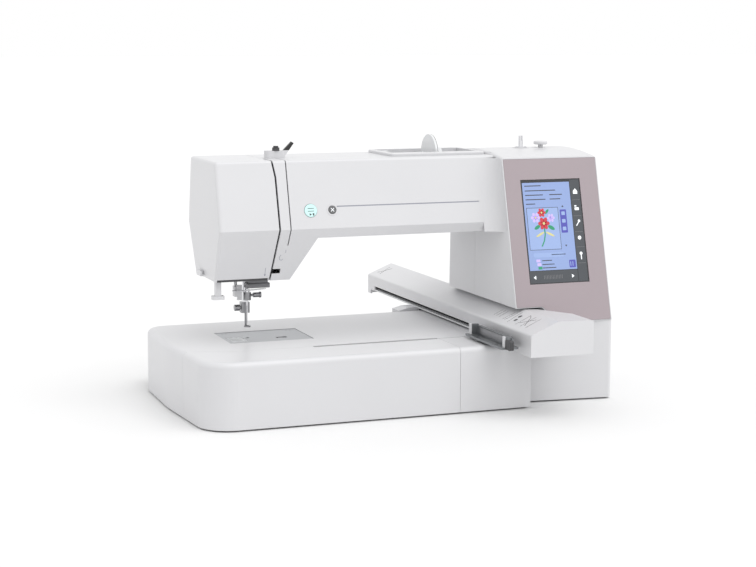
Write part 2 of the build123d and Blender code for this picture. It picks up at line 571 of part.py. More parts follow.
def handwheel():
    wheel = rod("X", (SHAFT_Y, SHAFT_Z), 27, RIGHT + 1.5, RIGHT + 12)
    wheel = fillet(wheel.edges().filter_by(GeomType.CIRCLE), 2.5)
    wheel -= rod("X", (SHAFT_Y, SHAFT_Z), 17, RIGHT + 9.5, RIGHT + 13)
    wheel -= rod("X", (SHAFT_Y, SHAFT_Z), SHAFT_R, RIGHT, RIGHT + 8)
    for i in range(24):
        a = radians(15 * i)
        wheel -= rod("X", (SHAFT_Y + 28 * cos(a), SHAFT_Z + 28 * sin(a)), 1.8, RIGHT, RIGHT + 13)
    return wheel


def lower_shaft():
    shaft = rod("X", (LOWER_Y, LOWER_Z), LOWER_R, HOOK_X - 8, TIMING_X + 10)
    shaft += rod("X", (LOWER_Y, LOWER_Z), TIMING_R, TIMING_X, TIMING_X + 8)
    gear = rod("X", (LOWER_Y, LOWER_Z), LOWER_GEAR_R, HOOK_X - 5, HOOK_X + 5)
    pitch = LOWER_GEAR_R + 0.4
    for i in range(16):
        a = radians(22.5 * i)
        tooth_gap = (LOWER_Y + pitch * cos(a), LOWER_Z + pitch * sin(a))
        gear -= rod("X", tooth_gap, 1.0, HOOK_X - 6, HOOK_X + 6)
    return shaft + gear


def belt_loop(axis, a, ra, b, rb, w0, w1, gap=BELT_GAP, t=BELT_T):
    """A flat belt round two pulleys. a and b are the pulley centres in the plane across axis."""
    around_a = Pos(*a) * Circle(ra + gap + t)
    around_b = Pos(*b) * Circle(rb + gap + t)
    hull_out = make_hull([*around_a.edges(), *around_b.edges()])
    hull_in = make_hull([*(Pos(*a) * Circle(ra + gap)).edges(), *(Pos(*b) * Circle(rb + gap)).edges()])
    loop = extrude(hull_out - hull_in, w1 - w0)
    if axis == "X":
        return Plane((w0, 0, 0), x_dir=(0, 1, 0), z_dir=(1, 0, 0)) * loop
    return Pos(0, 0, w0) * loop


def timing_belts():
    shaft = (SHAFT_Y, SHAFT_Z)
    motor = belt_loop("X", (MOTOR_Y, MOTOR_Z), MOTOR_PULLEY_R, shaft, DRIVE_R, DRIVE_X + 1, DRIVE_X + 7)
    lower = belt_loop("X", (LOWER_Y, LOWER_Z), TIMING_R, shaft, TIMING_R, TIMING_X + 1, TIMING_X + 7)
    return [motor, lower]


def main_motor():
    body = rod("X", (MOTOR_Y, MOTOR_Z), MOTOR_R, 426, 480)
    body = fillet(body.edges().filter_by(GeomType.CIRCLE), 2)
    body += rod("X", (MOTOR_Y, MOTOR_Z), 10, 421, 427)
    body -= rod("X", (MOTOR_Y, MOTOR_Z), 3 + RUN, 450, 490)
    return body


def motor_pulley():
    pulley = rod("X", (MOTOR_Y, MOTOR_Z), 3, 452, DRIVE_X + 8)
    return pulley + rod("X", (MOTOR_Y, MOTOR_Z), MOTOR_PULLEY_R, DRIVE_X, DRIVE_X + 8)


def rotary_hook():
    """The horizontal hook: an open cup on a short upright shaft."""
    hook = rod("Z", (HOOK_X, HOOK_Y), HOOK_R, 60, 74)
    hook -= rod("Z", (HOOK_X, HOOK_Y), HOOK_R - 2.5, 62.5, 76)
    hook += rod("Z", (HOOK_X, HOOK_Y), 4, PAN_Z + PAN_T + 0.4, 60)
    return hook + rod("Z", (HOOK_X, HOOK_Y), HOOK_GEAR_R, LOWER_Z - 6, LOWER_Z + 6)


def bobbin_case():
    case = rod("Z", (HOOK_X, HOOK_Y), HOOK_R - 3.2, 63.5, 76, HOOK_R - 5)
    return case + rod("Z", (HOOK_X, HOOK_Y), HOOK_R - 3.2, 63.5, 65)


# ---- needle, presser and thread path ----
def needle_bar():
    bar = rod("Z", (NEEDLE_X, NEEDLE_Y), NEEDLE_BAR_R, 141, 306)
    collar = rod("Z", (NEEDLE_X, NEEDLE_Y), 5.4, 234, 246)
    return bar + collar + rod("X", (NEEDLE_Y, 240), 2.5, NEEDLE_X, NEEDLE_X + 12)


def needle_clamp():
    clamp = rod("Z", (NEEDLE_X, NEEDLE_Y), 5, 131, 141)
    clamp += rod("X", (NEEDLE_Y, 137), 1.6, NEEDLE_X + 2, NEEDLE_X + 9)
    screw = rod("X", (NEEDLE_Y, 137), 3.1, NEEDLE_X + 8, NEEDLE_X + 18)
    clamp += screw + rod("X", (NEEDLE_Y, 137), 3.8, NEEDLE_X + 16, NEEDLE_X + 18)
    return clamp - rod("Z", (NEEDLE_X, NEEDLE_Y), 1.0, 130, 139)


def needle():
    shank = rod("Z", (NEEDLE_X, NEEDLE_Y), 1.0, 124, 139)
    blade = rod("Z", (NEEDLE_X, NEEDLE_Y), 0.55, 104, 124)
    tip = Pos(NEEDLE_X, NEEDLE_Y, 102) * Cone(0.1, 0.55, 4)
    return shank + blade + tip


def presser_bar():
    axis = (NEEDLE_X, PRESSER_Y)
    return rod("Z", axis, PRESSER_R, 114, 292) + rod("Z", axis, 4.6, 206, 214)


def embroidery_foot():
    """Clamped on the presser bar, with a thin leg down to a small ring round the needle."""
    foot = block(101.5, 112.5, PRESSER_Y - 5.4, PRESSER_Y + 6, 113.5, 127)
    foot = fillet(foot.edges().filter_by(Axis.Z), 2)
    foot -= rod("Z", (NEEDLE_X, PRESSER_Y), PRESSER_R, 114, 130)
    foot += rod("X", (PRESSER_Y, 120), 4, 93.5, 100)
    foot += rod("X", (PRESSER_Y, 120), 1.8, 99, 102.5)
    leg_y = PRESSER_Y - 3.8
    foot += rod("Z", (NEEDLE_X, leg_y), 1.4, 96.5, 113.8)
    ring = rod("Z", (NEEDLE_X, NEEDLE_Y), 4.2, 96.5, 98.2, 2.6)
    return foot + ring + block(105.6, 108.4, NEEDLE_Y + 3.2, leg_y, 96.5, 98.2)


def take_up_lever():
    hub = rod("X", (TAKEUP_Y, TAKEUP_Z), 6, 121.5, 126, 3.0 + RUN)
    arm = prism_yz(
        [(TAKEUP_Y - 4, TAKEUP_Z + 4.6), (TAKEUP_Y - 27, TAKEUP_Z + 22), (TAKEUP_Y - 31, TAKEUP_Z + 17),
         (TAKEUP_Y - 5, TAKEUP_Z - 2)], 121.8, 123.8
    )
    arm -= rod("X", (TAKEUP_Y - 26.5, TAKEUP_Z + 17.5), 1.3, 120, 126)
    return hub + (arm - rod("X", (TAKEUP_Y, TAKEUP_Z), 5, 120, 130))


def tension_unit():
    y, z = 120.0, 232.0
    unit = rod("X", (y, z), 2.5, 127, 140)
    for x in (128.5, 132.0, 135.5):
        unit += rod("X", (y, z), 9, x, x + 1.6)
    return unit


def needle_threader():
    """The thumb lever at the left, its bar inside the head, and the white threading head."""
    post = block(LEVER_X - 3.7, LEVER_X + 3.7, LEVER_Y - 4, LEVER_Y + 4, 144, 206)
    pad = block(LEVER_X - 7.6, LEVER_X + 7.6, LEVER_Y - 6, LEVER_Y + 6, 140.8, 145.2)
    lever = fillet(post.edges().filter_by(Axis.Z), 1.2) + fillet(pad.edges().filter_by(Axis.Z), 3)
    lever += block(LEVER_X, THREADER_X + 2, LEVER_Y - 3, LEVER_Y + 3, 199, 205)
    lever += block(THREADER_X - 2, THREADER_X + 2, LEVER_Y - 3, NEEDLE_Y - 1, 199, 205)
    head = block(THREADER_X - 2.5, 98, 152, 161, 137, 150) + block(93, 99, 155, 158, 132, 138)
    head += block(91, 97, 148, 153, 146, 152)
    return lever + head + rod("Z", (THREADER_X, NEEDLE_Y - 3.5), 2.0, 149, 202)


def foot_lifter():
    """Lever behind the head: a hub on a cross pin and a tongue that hangs out of the back."""
    y, z = LIFTER_Y, LIFTER_Z
    hub = rod("X", (y, z), 3.8, LIFTER_X - 4, LIFTER_X + 4)
    side = [(y + 1, z + 4), (y + 31, z - 4), (y + 33, z - 9), (y + 2, z - 4)]
    tongue = prism_yz(side, LIFTER_X - 3.5, LIFTER_X + 3.5)
    return hub + tongue - rod("X", (y, z), 2.0 + RUN, 90, 120)


def button(name):
    x, z, r = BUTTONS[name]
    cap = Pos(0, 0, -2.6) * Cylinder(r, 7)
    cap = fillet(cap.edges().filter_by(GeomType.CIRCLE).sort_by(Axis.Z)[-1:], 0.5)
    cap += Pos(0, 0, -6.6) * Cylinder(r + 1.5, 1.0)
    return button_plane(x, z) * cap


# ---- power ----
def power_inlet():
    x, y, z = BASE_RIGHT, INLET_Y, INLET_Z
    body = block(x - 22, x - 0.5, y - 14.6, y + 14.6, z - 11.6, z + 11.6)
    body -= block(x - 18, x + 1, y - 11.5, y + 11.5, z - 8, z + 8)
    for pin_y in (y - 7.0, y, y + 7.0):
        body += block(x - 19, x - 5, pin_y - 1, pin_y + 1, z - 2, z + 2)
    body += block(x - 20, x - 10, SWITCH_Y - 12, SWITCH_Y + 12, z - 10, z + 10)
    body += block(x - 14, x - 10, SWITCH_Y + 10, y - 12, z - 6, z + 6)
    for ear_z in (z - 10, z + 8.2):
        body += block(x - 11, x - 3.2, SWITCH_Y - 2, SWITCH_Y + 2, ear_z, ear_z + 1.8)
    return body + rod("Z", (SWITCH_PIN_X, SWITCH_Y), 1.2, z - 10, z + 10)


def power_switch():
    """A rocker that tips about an upright pin."""
    x = BASE_RIGHT
    y0, y1 = SWITCH_Y - 9.6, SWITCH_Y + 9.6
    rocker = prism_xy(
        [(x - 7, y0), (x + 0.6, y0), (x - 0.8, SWITCH_Y), (x + 0.6, y1), (x - 7, y1)],
        INLET_Z - 6.8, INLET_Z + 6.8,
    )
    return rocker - rod("Z", (SWITCH_PIN_X, SWITCH_Y), 1.2 + RUN, 0, 60)


# ---- X drive behind the bed ----


def x_guide_rods():
    return [rod("X", (y, X_ROD_Z), X_ROD_R - 0.02, 25.5, 507.5) for y in X_ROD_Y]


def x_belt():
    idler, motor = (IDLER_X, BELT_Y), (X_MOTOR_X, BELT_Y)
    return belt_loop("Z", idler, BELT_PULLEY_R, motor, BELT_PULLEY_R, BELT_Z + 0.6, BELT_Z + 6)


def x_motor():
    body = block(X_MOTOR_X - 17, X_MOTOR_X + 17, 292, 326, PAN_Z + PAN_T, 42)
    body = fillet(body.edges().filter_by(Axis.Z), 4)
    return body - rod("Z", (X_MOTOR_X, BELT_Y), 2.5 + RUN, 20, 50)


def drive_pulley(x, y, z0, drop):
    """A flanged belt pulley on its motor shaft."""
    wheel = rod("Z", (x, y), BELT_PULLEY_R, z0, z0 + 6.6) + rod("Z", (x, y), 7.6, z0 - 1, z0)
    return wheel + rod("Z", (x, y), 2.5, z0 - drop, z0)


def idler_pulley(x, y, z0, bore):
    wheel = rod("Z", (x, y), BELT_PULLEY_R, z0, z0 + 6.6) + rod("Z", (x, y), 7.6, z0 - 1, z0)
    return wheel - rod("Z", (x, y), bore, z0 - 2, z0 + 8)


# ---- embroidery arm ----
def arm_outer(inset):
    """Roof-shaped bar with a wide block at its front end and a deeper cap at its back end."""
    t = inset
    soft = 0.0 if inset else 3.0
    bar = prism_xz(BAR_SECTION, BAR_FRONT + t, BAR_BACK - t, t, soft)
    plan = [
        (BAR_LEFT, BAR_FRONT), (BLOCK_RIGHT, BAR_FRONT), (BLOCK_RIGHT, -24),
        ((BAR_LEFT + BAR_RIGHT) / 2 + 8, BLOCK_BACK), (BAR_LEFT, BLOCK_BACK),
    ]
    plan_face = make_face(Polyline(*plan, close=True))
    if t:
        plan_face = offset(plan_face, -t, kind=Kind.INTERSECTION)
    else:
        plan_face = fillet(plan_face.vertices().filter_by(lambda v: v.X > BAR_RIGHT and v.Y > -60), 12)
    end = prism_xz(BLOCK_SECTION, BAR_FRONT + t, BLOCK_BACK + 1, t, soft)
    end &= Pos(0, 0, 70) * extrude(plan_face, 60)
    end -= block(380, 500, -2 - t, 60, 70, BAR_BOTTOM + t)
    if t:
        return bar + end + block(BAR_LEFT + t, BAR_RIGHT - t, CAP_FRONT, BAR_BACK - t, BLOCK_BOTTOM - 1, 95)
    return bar + end + block(BAR_LEFT, BAR_RIGHT, CAP_FRONT, BAR_BACK, BLOCK_BOTTOM, 95)


def arm_housing():
    shell = arm_outer(0) - arm_outer(BAR_T)
    shell -= block(BAR_LEFT + BAR_T, BAR_RIGHT - BAR_T, -2, BAR_BACK - BAR_T, 70, BAR_BOTTOM + BAR_T)
    shell -= block(BAR_LEFT + BAR_T, BLOCK_RIGHT - BAR_T, BAR_FRONT + BAR_T, -1, 70, BLOCK_BOTTOM + BAR_T)
    shell -= block(380, BAR_LEFT + 4, -19, 462, 70, BAR_SLOT_TOP)
    shell -= block(BAR_LEFT + 1, BLOCK_RIGHT - BAR_T, -2 - BAR_T, 4, 70, BAR_EAVE - 4)
    return shell


def arm_chassis():
    x0, x1, z0 = BAR_LEFT + 0.4, BAR_RIGHT - BAR_T - 0.4, BAR_BOTTOM
    chassis = block(x0 + BAR_T, x1, -1.5, 486, z0, z0 + 2) + block(x0, x0 + BAR_T, -1.5, 461, z0, z0 + 2)
    chassis += block(x0 + 3, x0 + 4.6, -1.5, 486, z0, z0 + 3.4)
    for y in (-1.5, 478.0):
        chassis += block(Y_ROD_X - 10, BELT_X - 12, y, y + 5, z0, Y_ROD_Z + 5)
    chassis -= rod("Y", (Y_ROD_X, Y_ROD_Z), 4.0, -5, 490)
    chassis += rod("Z", (BELT_X, Y_IDLER_Y), 2.5, z0, Y_BELT_Z + 8)
    chassis += block(400, 430, SLOT_Y - 0.7, SLOT_Y + 0.7, 45, z0 + 1)
    foot = block(378, 438, 293, 323, 30, 46) + block(378, 438, 292.6, 297, 40, z0 + 1)
    foot += block(366, 394, 292.6, 324, 64, 66) + block(378, 438, 297, 324, 64, 66)
    for y in X_ROD_Y:
        foot -= rod("X", (y, X_ROD_Z), X_ROD_R + RUN, 370, 450)
    clamp_y = BELT_Y + BELT_R_OUT
    foot += block(400, 416, clamp_y - BELT_T - 1.6, clamp_y - BELT_T - 0.3, 45, BELT_Z + 7)
    foot += block(400, 416, clamp_y + 0.3, clamp_y + 2.3, 45, BELT_Z + 7)
    fairing = [(366, 64), (394.4, 64), (394.4, z0 + 0.4), (380, z0 + 0.4), (366, z0 - 3)]
    return chassis + foot + prism_xz(fairing, 294, 320)


def y_motor():
    body = block(BELT_X - 17, BELT_X + 17, Y_PULLEY_Y - 17, Y_PULLEY_Y + 17, 81.5, 93)
    body = fillet(body.edges().filter_by(Axis.Z), 4)
    return body - rod("Z", (BELT_X, Y_PULLEY_Y), 2.5 + RUN, 84, 100)


def y_guide_rods():
    return rod("Y", (Y_ROD_X, Y_ROD_Z), 3.98, -1.5, 483)


def y_belt():
    front, back = (BELT_X, Y_PULLEY_Y), (BELT_X, Y_IDLER_Y)
    return belt_loop("Z", front, BELT_PULLEY_R, back, BELT_PULLEY_R, Y_BELT_Z + 0.6, Y_BELT_Z + 6)


def carriage_block():
    """Runs on the arm's guide rod; its tongue comes out through the slot."""
    y0, y1 = CARRIAGE_Y, CARRIAGE_Y + 40
    body = block(398.6, 422.5, y0, y1, 93, 104.5)
    body -= rod("Y", (Y_ROD_X, Y_ROD_Z), 4.0 + RUN, y0 - 1, y1 + 1)
    tongue = block(383, 402, y0, y1, 88.9, 91.4) + block(398.6, 402, y0, y1, 88.9, 95)
    belt_x = BELT_X - BELT_R_OUT
    clamp = block(422, belt_x - 0.3, y0 + 8, y1 - 8, 93, Y_BELT_Z + 6)
    clamp += block(422, belt_x + BELT_T + 2.2, y0 + 8, y1 - 8, 93, Y_BELT_Z)
    clamp += block(belt_x + BELT_T + 0.3, belt_x + BELT_T + 2.2, y0 + 8, y1 - 8, 93, Y_BELT_Z + 6)
    return body + tongue + clamp


def hoop_bracket():
    """The hoop's seat: a floor, an upright back plate and two posts, with two locating holes."""
    y0, y1, z0 = CARRIAGE_Y - 54, CARRIAGE_Y + 56, 86.0
    seat = block(366, 388, y0, y1, z0, z0 + 2.6)
    seat += block(379, 381.5, y0, y1, z0, 99.5)
    for y in (y0 + 2, y1 - 7):
        seat += block(372, 381.5, y, y + 5, z0, 101)
    seat += block(381.5, 384, y0 + 10, y1 - 10, 91.5, 99.5)
    for y in (y0 + 25, y1 - 25):
        seat -= rod("Z", (370.5, y), 2.0, 80, 95)
    return seat


def build():
    """Every sub-part by node name, in the working frame."""
    nodes = {"base_pan": base_pan(), "rubber_feet": rubber_feet(), "base_cover": base_cover()}
    nodes.update(bed_covers())
    nodes.update(upper_covers())
    makers = [
        needle_plate, hook_cover, plate_release, display_bezel, touch_display, main_board, spool_tray,
        spool_pin, spool_cap, head_sole, led_lamp, top_thread_guide, pretension_dial, winder_spindle,
        winder_stopper, cast_frame, main_shaft, handwheel, lower_shaft, timing_belts, main_motor,
        motor_pulley, rotary_hook, bobbin_case, needle_bar, needle_clamp, needle, presser_bar,
        embroidery_foot, take_up_lever, tension_unit, needle_threader, foot_lifter,
        power_inlet, power_switch, x_guide_rods, x_belt, x_motor, arm_housing, arm_chassis, y_motor,
        y_guide_rods, y_belt, carriage_block, hoop_bracket,
    ]
    for make in makers:
        nodes[make.__name__] = make()
    nodes["start_button"] = button("start")
    nodes["cutter_button"] = button("cutter")
    nodes["x_pulley"] = drive_pulley(X_MOTOR_X, BELT_Y, BELT_Z, 20)
    nodes["x_idler"] = idler_pulley(IDLER_X, BELT_Y, BELT_Z, 2.5 + RUN)
    nodes["y_pulley"] = drive_pulley(BELT_X, Y_PULLEY_Y, Y_BELT_Z, 11)
    nodes["y_idler"] = idler_pulley(BELT_X, Y_IDLER_Y, Y_BELT_Z, 2.5 + RUN)
    return nodes


def as_compound(piece):
    return Compound(children=list(piece)) if isinstance(piece, list) else piece


os.makedirs("parts", exist_ok=True)
NODES = {name: as_compound(piece) for name, piece in build().items()}
BOXES = [shape.bounding_box() for shape in NODES.values()]
MID_X = (min(b.min.X for b in BOXES) + max(b.max.X for b in BOXES)) / 2
MID_Y = (min(b.min.Y for b in BOXES) + max(b.max.Y for b in BOXES)) / 2
for name, shape in NODES.items():
    export_step(Pos(-MID_X, -MID_Y, 0) * shape, f"parts/{name}.step")
print("nodes", len(NODES), "middle", round(MID_X, 3), round(MID_Y, 3))
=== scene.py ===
import bpy
import bmesh
import json
from math import atan2, cos, pi, radians, sin
from mathutils import Matrix, Vector


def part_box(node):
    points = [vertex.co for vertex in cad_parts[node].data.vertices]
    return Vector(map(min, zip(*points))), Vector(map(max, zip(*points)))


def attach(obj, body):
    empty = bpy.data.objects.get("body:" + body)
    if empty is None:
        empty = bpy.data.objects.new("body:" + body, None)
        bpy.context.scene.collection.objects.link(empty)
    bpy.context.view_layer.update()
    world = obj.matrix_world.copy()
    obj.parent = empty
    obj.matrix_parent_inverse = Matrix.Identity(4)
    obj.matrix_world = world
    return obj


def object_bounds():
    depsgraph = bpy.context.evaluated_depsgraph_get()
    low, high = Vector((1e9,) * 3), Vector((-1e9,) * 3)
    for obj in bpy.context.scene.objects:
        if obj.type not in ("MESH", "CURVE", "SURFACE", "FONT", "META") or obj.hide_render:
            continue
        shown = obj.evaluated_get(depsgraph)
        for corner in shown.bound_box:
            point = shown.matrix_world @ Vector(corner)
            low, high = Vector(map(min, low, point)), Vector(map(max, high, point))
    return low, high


# Looks for the embroidery machine: materials, small trim, display picture, light and camera.
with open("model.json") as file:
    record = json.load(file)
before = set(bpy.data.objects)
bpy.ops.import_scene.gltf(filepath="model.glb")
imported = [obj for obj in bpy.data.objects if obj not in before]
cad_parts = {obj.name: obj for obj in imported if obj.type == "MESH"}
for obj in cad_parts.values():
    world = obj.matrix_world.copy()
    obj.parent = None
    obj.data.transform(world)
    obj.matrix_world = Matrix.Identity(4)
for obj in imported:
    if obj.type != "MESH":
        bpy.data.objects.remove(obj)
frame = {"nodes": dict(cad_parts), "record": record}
cad_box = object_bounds()
nodes = frame["nodes"]

# ---- drawing coordinates: millimetres from the bed's front left corner at table height ----
MM = 0.001
WHEEL_FACE = 562.0              # handwheel's outer face, the object's right end
ARM_END = 490.0                 # back end of the embroidery arm, the object's rear end
HIGH = Vector(cad_box[1])


def at(x, y, z):
    """A drawing point in the row frame, in metres."""
    return Vector(((x - WHEEL_FACE) * MM + HIGH.x, (y - ARM_END) * MM + HIGH.y, z * MM))


BED_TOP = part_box("bed_cover")[1][2] / MM
TOP = 311.0                     # flat top of the upper arm
PANEL_FOOT_Y, PANEL_FOOT_Z, PANEL_SLOPE = 17.0, 103.0, 0.26
BEND_Y, BEND_Z = 76.0, 228.0    # crease along the front of the head and arm
FRONT_TOP_Y, FRONT_FOOT_Y, FOOT_Z = 97.0, 102.0, 163.0
ARM_LEFT, ARM_EAVE, ROOF_SLOPE = 393.0, 106.5, 15.0 / 37.0     # embroidery arm, parked
BUTTON_Z, START_X, CUTTER_X = 250.0, 166.0, 194.0
HOOK_X, HOOK_Y = 92.0, 150.0
SLOT_Y = 70.0                   # middle line of the slot that the arm's foot travels in
SPOOL_Y, SPOOL_Z, SPOOL_CAP_R, SPOOL_CAP_FACE = 166.0, 309.0, 26.1, 359.4
WINDER_X, WINDER_Y = 480.0, 148.0
CHASSIS_WALL = 396.0            # left of this the arm's chassis is painted as the housing
GUIDE_BLACK_Z = TOP + 9.5       # the top thread guide is black above this
PANEL_LEAN = atan2(PANEL_SLOPE, 1)
FRONT_LEAN = atan2(FRONT_TOP_Y - BEND_Y, TOP - BEND_Z)


# ---- surfaces that flat graphics lie on: each maps (across, height, depth behind the face) ----
def on_panel(x, z, depth):
    y = PANEL_FOOT_Y + PANEL_SLOPE * (z - PANEL_FOOT_Z)
    return at(x, y + depth * cos(PANEL_LEAN), z - depth * sin(PANEL_LEAN))


def on_front(x, z, depth):
    y = BEND_Y + (FRONT_TOP_Y - BEND_Y) * (z - BEND_Z) / (TOP - BEND_Z)
    return at(x, y + depth * cos(FRONT_LEAN), z - depth * sin(FRONT_LEAN))


def on_lower_front(x, z, depth):
    y = BEND_Y + (FRONT_FOOT_Y - BEND_Y) * (z - BEND_Z) / (FOOT_Z - BEND_Z)
    return at(x, y + depth, z)


def on_roof(x, y, depth):
    """The embroidery arm's left roof slope."""
    return at(x, y, ARM_EAVE + (x - ARM_LEFT) * ROOF_SLOPE - depth)


def level(z0):
    """A level surface at height z0; across is x and the second value is y."""
    return lambda x, y, depth: at(x, y, z0 - depth)


def facing_x(x0):
    """An upright surface across X at x0; across is y and the second value is z."""
    return lambda y, z, depth: at(x0 - depth, y, z)


# ---- outlines in two dimensions ----
def ellipse(cx, cy, rx, ry=None, turn=0.0, count=28):
    ry = ry or rx
    points = []
    for i in range(count):
        a = 2 * pi * i / count
        x, y = rx * cos(a), ry * sin(a)
        points.append((cx + x * cos(turn) - y * sin(turn), cy + x * sin(turn) + y * cos(turn)))
    return points


def rectangle(x0, y0, x1, y1, r=0.0, count=5):
    if not r:
        return [(x0, y0), (x1, y0), (x1, y1), (x0, y1)]
    points = []
    for k, (cx, cy) in enumerate(((x1 - r, y1 - r), (x0 + r, y1 - r), (x0 + r, y0 + r), (x1 - r, y0 + r))):
        for i in range(count + 1):
            a = (k + i / count) * pi / 2
            points.append((cx + r * cos(a), cy + r * sin(a)))
    return points


def stroke(a, b, width):
    """A straight line of that width, as an outline."""
    (x0, y0), (x1, y1) = a, b
    turn = atan2(y1 - y0, x1 - x0)
    sx, sy = -sin(turn) * width / 2, cos(turn) * width / 2
    return [(x0 + sx, y0 + sy), (x0 - sx, y0 - sy), (x1 - sx, y1 - sy), (x1 + sx, y1 + sy)]


def bent_stroke(points, width):
    return [stroke(a, b, width) for a, b in zip(points, points[1:])]


# ---- materials ----
def material(name, colour, rough, metallic=0.0, bump=0.0, grain=600.0, vary=0.04, stretch=(1, 1, 1), coat=0.0,
             emission=0.0, alpha=1.0, transmission=0.0, edge_highlight=0.0):
    """A surface whose colour, roughness and relief vary with a fine grain and a broad cloud."""
    m = bpy.data.materials.new(name)
    m.use_nodes = True
    tree = m.node_tree
    shader = tree.nodes["Principled BSDF"]
    new, link = tree.nodes.new, tree.links.new
    coords = new("ShaderNodeTexCoord")
    mapping = new("ShaderNodeMapping")
    mapping.inputs["Scale"].default_value = stretch
    link(coords.outputs["Object"], mapping.inputs["Vector"])

    fine = new("ShaderNodeTexNoise")
    fine.inputs["Scale"].default_value = grain
    fine.inputs["Detail"].default_value = 4
    link(mapping.outputs["Vector"], fine.inputs["Vector"])
    cloud = new("ShaderNodeTexNoise")
    cloud.inputs["Scale"].default_value = 9
    cloud.inputs["Detail"].default_value = 3
    link(coords.outputs["Object"], cloud.inputs["Vector"])

    ramp = new("ShaderNodeValToRGB")
    for i, factor in enumerate((1 - vary, 1 + vary)):
        shade = [min(1.0, c * factor) for c in colour]
        ramp.color_ramp.elements[i].color = (*shade, 1)
        ramp.color_ramp.elements[i].position = 0.3 + 0.4 * i
    link(cloud.outputs["Fac"], ramp.inputs["Fac"])
    tint = ramp.outputs["Color"]
    # Painted highlight: the base colour is lightened along sharp convex edges, where light catches them.
    if edge_highlight:
        edge = new("ShaderNodeNewGeometry")
        edge_ramp = new("ShaderNodeValToRGB")
        edge_ramp.color_ramp.elements[0].position = 0.52
        edge_ramp.color_ramp.elements[1].position = 0.62
        link(edge.outputs["Pointiness"], edge_ramp.inputs["Fac"])
        mix = new("ShaderNodeMix")
        mix.data_type = "RGBA"
        mix.inputs["B"].default_value = (*[min(1.0, c + edge_highlight) for c in colour], 1)
        link(edge_ramp.outputs["Color"], mix.inputs["Factor"])
        link(tint, mix.inputs["A"])
        tint = mix.outputs["Result"]
    link(tint, shader.inputs["Base Color"])

    spread = new("ShaderNodeMapRange")
    spread.inputs["To Min"].default_value = max(0.02, rough - 0.06)
    spread.inputs["To Max"].default_value = min(1.0, rough + 0.06)
    link(fine.outputs["Fac"], spread.inputs["Value"])
    link(spread.outputs["Result"], shader.inputs["Roughness"])
    if bump:
        relief = new("ShaderNodeBump")
        relief.inputs["Strength"].default_value = bump
        relief.inputs["Distance"].default_value = 0.0003
        link(fine.outputs["Fac"], relief.inputs["Height"])
        link(relief.outputs["Normal"], shader.inputs["Normal"])
    shader.inputs["Metallic"].default_value = metallic
    shader.inputs["Coat Weight"].default_value = coat
    shader.inputs["Coat Roughness"].default_value = 0.12
    shader.inputs["Alpha"].default_value = alpha
    shader.inputs["Transmission Weight"].default_value = transmission
    if emission:
        shader.inputs["Emission Color"].default_value = (*colour, 1)
        shader.inputs["Emission Strength"].default_value = emission
    return m


def two_tone(m, second, axis, limit):
    """Repaints m with a second colour beyond limit (metres) along an axis of the row frame."""
    tree = m.node_tree
    shader = tree.nodes["Principled BSDF"]
    first = shader.inputs["Base Color"].links[0].from_socket
    coords = tree.nodes.new("ShaderNodeTexCoord")
    split = tree.nodes.new("ShaderNodeSeparateXYZ")
    beyond = tree.nodes.new("ShaderNodeMath")
    beyond.operation = "GREATER_THAN"
    beyond.inputs[1].default_value = limit
    mix = tree.nodes.new("ShaderNodeMix")
    mix.data_type = "RGBA"
    mix.inputs["B"].default_value = (*second, 1)
    tree.links.new(coords.outputs["Object"], split.inputs["Vector"])
    tree.links.new(split.outputs[axis], beyond.inputs[0])
    tree.links.new(beyond.outputs["Value"], mix.inputs["Factor"])
    tree.links.new(first, mix.inputs["A"])
    tree.links.new(mix.outputs["Result"], shader.inputs["Base Color"])
    return m


